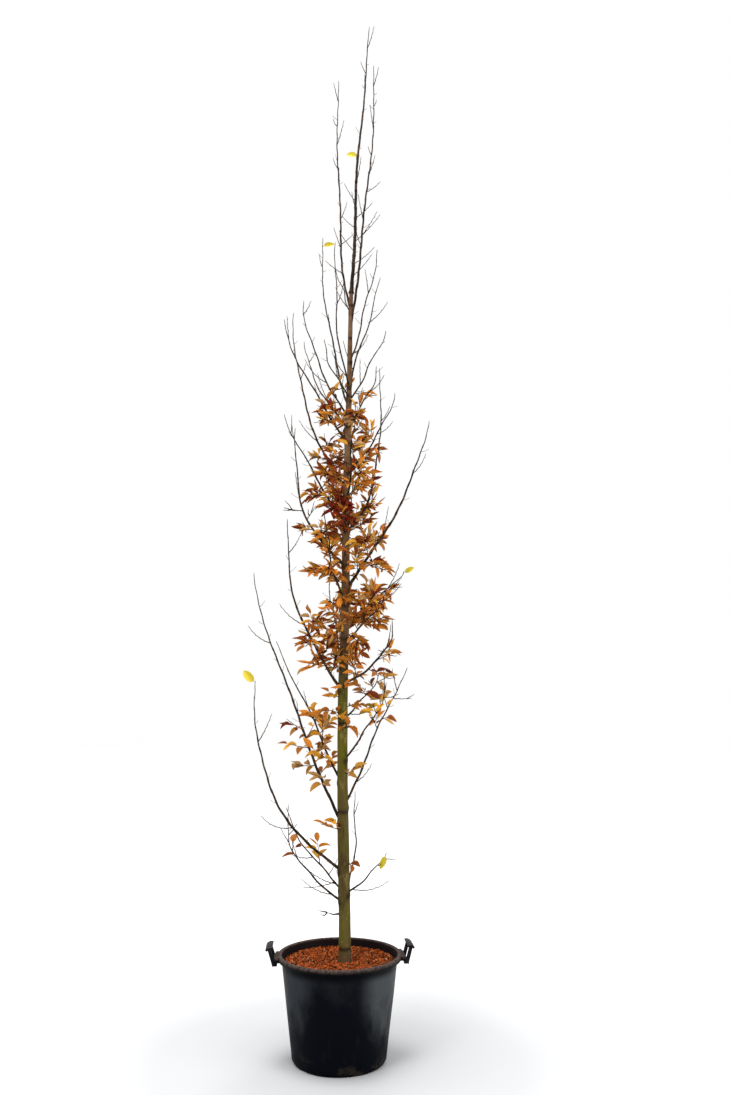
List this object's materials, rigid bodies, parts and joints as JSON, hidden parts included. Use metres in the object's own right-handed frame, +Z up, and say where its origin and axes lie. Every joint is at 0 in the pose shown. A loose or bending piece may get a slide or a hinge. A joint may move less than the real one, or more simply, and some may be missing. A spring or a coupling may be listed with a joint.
{
  "type": "european hornbeam in a container",
  "caption": "Upright young hornbeam keeping its dry copper leaves round the trunk, bare shoots above, in a round black container with handles.",
  "frame": {"origin": "middle of the container's flat underside", "axes": "+Z up along the trunk, +X to the right and +Y to the back of the view in the picture"},
  "size_m": [0.7588, 0.5472, 4.4903],
  "materials": {
    "container": "satin black moulded plastic with a dusty lip",
    "substrate": "rough reddish brown bark chips",
    "bark": "smooth olive brown bark, ridged and greyer above",
    "twigs": "thin dark brown shoots",
    "foliage": "dry copper and golden leaves on dark twigs"
  },
  "bodies": {
    "root": {"bough_05": "bark", "bough_06": "bark", "bough_07": "bark", "bough_08": "bark", "bough_11": "bark", "bough_17": "bark", "bough_18": "bark", "bough_20": "bark", "bough_21": "bark", "bough_23": "bark", "bough_25": "bark", "bough_28": "bark", "bough_29": "bark", "bough_33": "bark", "foliage_01": "foliage", "foliage_02": "foliage", "foliage_03": "foliage", "foliage_04": "foliage", "foliage_05": "foliage", "foliage_06": "foliage", "foliage_07": "foliage", "foliage_08": "foliage", "foliage_09": "foliage", "foliage_10": "foliage", "foliage_11": "foliage", "foliage_12": "foliage", "foliage_13": "foliage", "foliage_14": "foliage", "foliage_15": "foliage", "foliage_16": "foliage", "foliage_17": "foliage", "foliage_18": "foliage", "foliage_19": "foliage", "foliage_20": "foliage", "foliage_21": "foliage", "foliage_22": "foliage", "foliage_23": "foliage", "foliage_24": "foliage", "foliage_25": "foliage", "foliage_26": "foliage", "foliage_27": "foliage", "foliage_28": "foliage", "foliage_29": "foliage", "foliage_30": "foliage", "foliage_31": "foliage", "foliage_32": "foliage", "foliage_33": "foliage", "foliage_34": "foliage", "foliage_35": "foliage", "handle_left": "container", "handle_right": "container", "leader_left": "bark", "leader_middle": "bark", "leader_right": "bark", "pot": "container", "soil": "substrate", "trunk": "bark", "twigs_left": "twigs", "twigs_middle": "twigs", "twigs_right": "twigs"}
  },
  "joints": []
}
